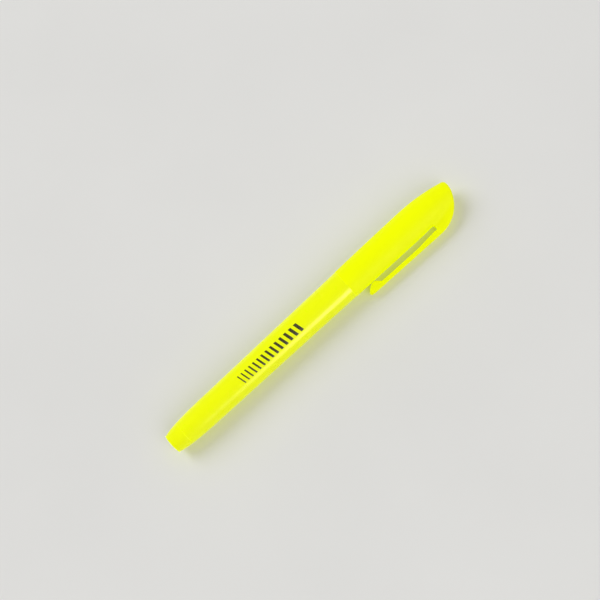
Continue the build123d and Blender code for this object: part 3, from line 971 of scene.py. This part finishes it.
class PEN_OT_cap(bpy.types.Operator):
    """Builds the cap shell with its web and its hollow inside"""

    bl_idname = "pen.cap"
    bl_label = "Cap"

    def execute(self, context):
        sizes, tip = settings("cap"), settings("tip")
        angles = cap_angles()
        bore = SEAT_RADIUS + sizes.fit
        liner_seat = LINER_END_X + sizes.end_gap
        core_end = CAP_END_X - sizes.end_wall
        mouth = cap_radius_at(SHOULDER_X)
        bevel = 0.035 * MM  # from both faces to the middle of the mouth's rounding
        inside = [
            (core_end, 0),
            (core_end, sizes.core_tip_radius - sizes.core_chamfer),
            (core_end - sizes.core_chamfer, sizes.core_tip_radius),
            (liner_seat, LINER_RADIUS - tip.liner_wall),
            (liner_seat, bore),
            (SHOULDER_X + sizes.mouth_chamfer, bore),
            (SHOULDER_X, bore + sizes.mouth_chamfer),
            (SHOULDER_X, mouth - sizes.mouth_round),
            (SHOULDER_X + bevel, mouth - bevel),
        ]
        rings = [round_places(x, r, angles) for x, r in inside] + cap_rings(angles)
        bm = lofted(rings)
        self.add_ribs(bm, bore, liner_seat, sizes)
        finish_piece(bm, "cap_shell", cap_plastic(), "cap", ["cap"], sharp=50)
        return {"FINISHED"}

    def add_ribs(self, bm, bore, liner_seat, sizes):
        """The ribs in the bore that grip the liner."""
        low, high = LINER_RADIUS + sizes.liner_fit, bore + 0.1 * MM
        start = LIP_X + MM
        size = Vector((liner_seat - start, sizes.rib_width, high - low))
        middle = Vector(((liner_seat + start) / 2, 0, (low + high) / 2))
        for number in range(sizes.ribs):
            turn = Matrix.Rotation(2 * pi * number / sizes.ribs, 4, "X")
            place = turn @ Matrix.Translation(middle) @ Matrix.Diagonal(size).to_4x4()
            cube = bmesh.ops.create_cube(bm, size=1, matrix=place)["verts"]
            edges = list({edge for vert in cube for edge in vert.link_edges})
            bmesh.ops.bevel(
                bm, geom=edges, offset=sizes.rib_round, offset_type="OFFSET", segments=2, profile=0.5,
                affect="EDGES", material=-1,
            )


class PEN_OT_cap_liner(bpy.types.Operator):
    """Builds the inner cap that seals over the nose"""

    bl_idname = "pen.cap_liner"
    bl_label = "Cap Liner"

    def execute(self, context):
        sizes = settings("tip")
        bore = LINER_RADIUS - sizes.liner_wall
        inner_end = LINER_END_X - sizes.liner_end_wall
        corner, inner, lip = (inner_end, bore), (LIP_X, bore), (LIP_X, LINER_RADIUS - sizes.lip_taper)
        bm = turned([
            (inner_end, 0), corner, inner, lip,
            (LIP_X + sizes.lip_lead, LINER_RADIUS),
            (LINER_END_X - sizes.liner_chamfer, LINER_RADIUS),
            (LINER_END_X, LINER_RADIUS - sizes.liner_chamfer),
            (LINER_END_X, 0),
        ])
        soften(bm, [inner, lip], sizes.lip_round)
        soften(bm, [corner], sizes.liner_chamfer)
        plastic = inner_plastic("liner_plastic", settings("colours").liner, rough=0.42, soft=0.4, peel=0.15)
        finish_piece(bm, "cap_liner_cup", plastic, "cap_liner", ["cap_liner"])
        return {"FINISHED"}


def clip_back_at(x):
    """The clip's outer face: level at the root, then falling gently to the tip."""
    sizes = settings("clip")
    along = (ROOT_X - x) / (ROOT_X - CLIP_TIP_X)
    return CLIP_BACK - sizes.fall * max(0, along)


def smooth_step(value):
    value = min(1, max(0, value))
    return value * value * (3 - 2 * value)


def clip_inner_at(x):
    """The clip's inner face: a thick root, the arm, and the grip bead near the tip."""
    sizes = settings("clip")
    haunch = smooth_step(1 - (ROOT_X - x) / sizes.haunch)
    arm = clip_back_at(x) - sizes.thickness - (sizes.root_thickness - sizes.thickness) * haunch
    crest_x = CLIP_TIP_X + sizes.bead_setback
    crest = cap_radius_at(crest_x) + sizes.bead_gap
    past = abs(x - crest_x) - sizes.bead_crest / 2
    if x > crest_x:
        return arm + (crest - arm) * smooth_step(1 - past / sizes.bead_ramp)
    tip = clip_back_at(CLIP_TIP_X) - sizes.tip_thickness
    rise = max(0, past) / (sizes.bead_setback - sizes.bead_crest / 2)
    return crest + (tip - crest) * (0.5 * rise + 0.5 * rise**2)


def clip_form(place):
    """The clip's arm; negative inside."""
    sizes = settings("clip")
    tip_radius = sizes.tip_width / 2
    tip_centre = CLIP_TIP_X + tip_radius
    if place.x < tip_centre:
        sides = hypot(place.x - tip_centre, place.y) - tip_radius
    else:
        along = min(1, (place.x - tip_centre) / (ROOT_X - tip_centre))
        sides = abs(place.y) - tip_radius - (sizes.root_width / 2 - tip_radius) * along
    near_tip = smooth_step((tip_centre - place.x) / tip_radius)
    edge = sizes.edge_blend + (sizes.tip_blend - sizes.edge_blend) * near_tip
    outer = both(sides, place.z - clip_back_at(place.x), edge)
    return both(outer, clip_inner_at(place.x) - place.z, sizes.inner_blend)


def box_directions(half_width, half_height, across, upright):
    """Directions from a bar's centre to even steps round its section."""
    corners = [Vector((0, y * half_width, z * half_height)) for y, z in ((-1, 1), (1, 1), (1, -1), (-1, -1))]
    directions = []
    for start, end, steps in zip(corners, corners[1:] + corners[:1], (across, upright) * 2):
        directions += [start.lerp(end, i / steps).normalized() for i in range(steps)]
    return directions


ARM_RINGS = 70
TIP_RINGS = 24


class PEN_OT_clip(bpy.types.Operator):
    """Builds the springy clip, with its root set into the cap's web"""

    bl_idname = "pen.clip"
    bl_label = "Clip"

    def execute(self, context):
        sizes = settings("clip")
        directions = box_directions(sizes.root_width / 2, sizes.thickness / 2, across=26, upright=14)
        heart_x = CLIP_TIP_X + sizes.tip_width / 2 + 0.4 * MM  # inside the tip, where its spokes meet

        def centre(x):
            return Vector((x, 0, (clip_back_at(x) + clip_inner_at(x)) / 2))

        def ring_at(x, lean=0.0):
            middle, back = centre(x), Vector((-sin(lean), 0, 0))
            return [reach(clip_form, middle, back + d * cos(lean)) for d in directions]

        middle, root = centre(ROOT_X), ring_at(ROOT_X)
        rings = []
        for depth, shrink in ((sizes.root_depth, 0.0), (sizes.root_depth, 0.9), (0.0, 0.9)):
            inset = Vector((depth, 0, 0))
            rings.append([middle + (place - middle) * shrink + inset for place in root])
        rings.append(root)
        rings += [ring_at(ROOT_X + (heart_x - ROOT_X) * i / ARM_RINGS) for i in range(1, ARM_RINGS + 1)]
        rings += [ring_at(heart_x, lean=pi / 2 * i / TIP_RINGS) for i in range(1, TIP_RINGS + 1)]
        bm = lofted(rings)
        piece = finish_piece(bm, "clip_arm", cap_plastic(), None, ["clip"], sharp=60)
        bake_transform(piece)
        return {"FINISHED"}


# ---- the stage ----


def view_axes():
    """The camera's right, up and back: it looks square on to the clip's side, turned by the roll."""
    roll = settings("stage").roll
    along, to_camera, to_clip = (PEN.to_3x3() @ Vector(v) for v in ((1, 0, 0), (0, 1, 0), (0, 0, 1)))
    right = along * cos(roll) + to_clip * sin(roll)
    up = along * sin(roll) - to_clip * cos(roll)
    return right, up, to_camera


# Name, where it shines from, share of full light that it gives the table, spread in degrees, tint.
SOFT_SUNS = (
    ("key", Vector((-0.35, 0.72, 0.9)), 0.29, 42, (0.95, 0.98, 1)),
    ("fill", Vector((0.1, -0.7, 0.7)), 0.17, 40, (1, 0.975, 0.92)),
)
WINDOW_PLACE = Vector((0.092, -0.47, 0.085))
WINDOW_SIZE = (0.29, 0.26)
WINDOW_WATTS = 3.5
ROOM_TINT = (1.0, 0.98, 0.95, 1)
ROOM_LIGHT = 0.5
TABLE_HALF = 25  # half the table top's width, so that no view sees its edge


def add_soft_sun(name, towards, share_of_light, spread, tint):
    """A wide, soft sun with no hot spot on gloss."""
    data = bpy.data.lights.new(name, "SUN")
    data.energy = pi * share_of_light / towards.normalized().z
    data.angle = radians(spread)
    data.color = tint
    light = place_light(data, towards, Vector((0, 0, 0)))
    light.visible_glossy = False


def add_window(target):
    """A low window that is seen only as the gloss streak along the pen."""
    data = bpy.data.lights.new("window", "AREA")
    data.shape = "RECTANGLE"
    data.size, data.size_y = WINDOW_SIZE
    data.energy = WINDOW_WATTS
    light = place_light(data, WINDOW_PLACE, target)
    light.visible_diffuse = False


def place_light(data, place, target):
    light = add_object(data.name, data)
    light.location = place
    light.rotation_mode = "QUATERNION"
    light.rotation_quaternion = (target - place).to_track_quat("-Z", "Y")
    return light


class PEN_OT_stage(bpy.types.Operator):
    """Sets the camera, the lights and the pale table top"""

    bl_idname = "pen.stage"
    bl_label = "Stage"

    def execute(self, context):
        look = settings("stage")
        low, high = CAD_BOX
        middle = Vector(((low.x + high.x) / 2, 0, 0)) + barrel_axis()
        context.scene.camera = self.add_camera(look, middle)
        self.add_table(look)
        for sun in SOFT_SUNS:
            add_soft_sun(*sun)
        add_window(middle)
        world = bpy.data.worlds.new("soft_room")
        world.use_nodes = True
        background = world.node_tree.nodes["Background"]
        background.inputs["Color"].default_value = ROOM_TINT
        background.inputs["Strength"].default_value = ROOM_LIGHT
        context.scene.world = world
        context.scene.view_settings.view_transform = "Standard"
        return {"FINISHED"}

    def add_camera(self, look, middle):
        right, up, back = view_axes()
        aim = middle - right * look.right + up * look.down
        data = bpy.data.cameras.new("camera")
        data.lens = look.lens
        distance = look.scale * data.lens / data.sensor_width
        camera = add_object("camera", data)
        turned_view = Matrix((right, up, back)).transposed().to_4x4()
        camera.matrix_world = Matrix.Translation(aim + back * distance) @ turned_view
        return camera

    def add_table(self, look):
        bm = bmesh.new()
        bmesh.ops.create_grid(bm, x_segments=1, y_segments=1, size=TABLE_HALF)
        add_mesh(bm, "table_top", table_top("table_top", look.floor))


# ---- the add-on ----

SIZE_GROUPS = {
    "barrel": BarrelSizes,
    "cap": CapSizes,
    "clip": ClipSizes,
    "tip": TipSizes,
    "print": PrintSizes,
    "colours": PenColours,
    "stage": StageLook,
}
OPERATORS = (
    PEN_OT_stage,
    PEN_OT_barrel,
    PEN_OT_tail_plug,
    PEN_OT_print,
    PEN_OT_nib_holder,
    PEN_OT_nib,
    PEN_OT_reservoir,
    PEN_OT_cap,
    PEN_OT_cap_liner,
    PEN_OT_clip,
)


class PEN_PT_panel(bpy.types.Panel):
    """Lists the pen's pieces in the order they are built"""

    bl_idname = "PEN_PT_panel"
    bl_label = "Highlighter Pen"
    bl_space_type = "VIEW_3D"
    bl_region_type = "UI"
    bl_category = "Highlighter"

    def draw(self, context):
        for operator in OPERATORS:
            self.layout.operator(operator.bl_idname)


def register():
    for name, group in SIZE_GROUPS.items():
        bpy.utils.register_class(group)
        setattr(bpy.types.Scene, f"pen_{name}", PointerProperty(type=group))
    for cls in (*OPERATORS, PEN_PT_panel):
        bpy.utils.register_class(cls)


def unregister():
    for cls in reversed((*OPERATORS, PEN_PT_panel)):
        bpy.utils.unregister_class(cls)
    for name, group in SIZE_GROUPS.items():
        delattr(bpy.types.Scene, f"pen_{name}")
        bpy.utils.unregister_class(group)


def main():
    register()
    for operator in OPERATORS:
        family, name = operator.bl_idname.split(".")
        getattr(getattr(bpy.ops, family), name)()
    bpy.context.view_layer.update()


if __name__ == "__main__":
    main()
